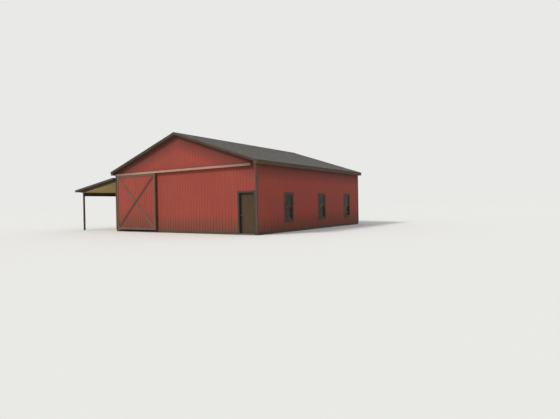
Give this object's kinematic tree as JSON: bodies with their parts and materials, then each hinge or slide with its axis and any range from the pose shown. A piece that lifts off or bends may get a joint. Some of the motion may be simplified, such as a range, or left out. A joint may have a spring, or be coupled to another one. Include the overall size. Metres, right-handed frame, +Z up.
{
  "type": "barn",
  "caption": "Red wooden post-frame barn with a gable roof, a braced sliding barn door, a hinged side door, three sash windows and an open lean-to.",
  "frame": {"origin": "on the ground, at the middle of the main barn's floor", "axes": "+X to the right along the gable front, seen from outside; +Y back along the ridge; +Z up"},
  "size_m": [15.334, 12.674, 5.5997],
  "materials": {
    "red_siding": "matt, faded",
    "trim_paint": "matt, weathered",
    "framing_lumber": "sawn",
    "weathered_lumber": "weathered",
    "plywood": "sawn",
    "shingles": "granular",
    "concrete": "trowelled",
    "door_paint": "satin",
    "galvanised_steel": "galvanised",
    "knob_steel": "satin",
    "threshold_metal": "worn",
    "glass": "clear"
  },
  "bodies": {
    "barn": {"floor_slab": "concrete", "front_wall_left": "red_siding", "front_wall_middle": "red_siding", "front_wall_right": "red_siding", "front_wall_over_barn_door": "red_siding", "front_wall_over_man_door": "red_siding", "front_gable_wall": "red_siding", "right_wall": "red_siding", "left_wall": "red_siding", "rear_wall": "red_siding", "wall_posts": "framing_lumber", "end_wall_girts": "framing_lumber", "side_wall_girts": "framing_lumber", "truss_ties": "framing_lumber", "truss_rafters": "framing_lumber", "truss_webs": "framing_lumber", "truss_gussets": "plywood", "purlins": "framing_lumber", "roof_deck": "plywood", "roof_shingles": "shingles", "ridge_cap": "shingles", "rake_fascias": "trim_paint", "rake_mouldings": "weathered_lumber", "eave_fascias": "trim_paint", "soffits": "trim_paint", "base_boards": "weathered_lumber", "corner_trim": "trim_paint", "track_cover_board": "trim_paint", "door_track": "galvanised_steel", "track_brackets": "galvanised_steel", "man_door_casing": "trim_paint", "man_door_frame": "trim_paint", "man_door_threshold": "threshold_metal", "man_door_hinge_pins": "knob_steel", "window_casings": "trim_paint", "window_frames": "trim_paint", "window_sashes": "trim_paint", "window_glass": "glass", "lean_to_posts": "weathered_lumber", "lean_to_beam": "weathered_lumber", "lean_to_ledger": "framing_lumber", "lean_to_rafters": "framing_lumber", "lean_to_lookouts": "framing_lumber", "lean_to_ceiling": "plywood", "lean_to_deck": "plywood", "lean_to_shingles": "shingles", "lean_to_fascias": "trim_paint"},
    "sliding_door": {"barn_door_panel": "red_siding", "barn_door_frame": "framing_lumber", "barn_door_trim": "trim_paint", "barn_door_brace": "trim_paint", "barn_door_trolleys": "galvanised_steel"},
    "man_door": {"man_door_leaf": "door_paint", "man_door_hinge_knuckles": "knob_steel", "man_door_knobs": "knob_steel"}
  },
  "joints": [
    {"name": "sliding_door_slide", "type": "slide", "parent": "barn", "child": "sliding_door", "axis": [1, 0, 0], "range_m": [0, 3.48]},
    {"name": "man_door_hinge", "type": "hinge", "parent": "barn", "child": "man_door", "pos_m": [5.3065, -5.933, 0], "axis": [0, 0, -1], "range_deg": [0, 90]}
  ]
}
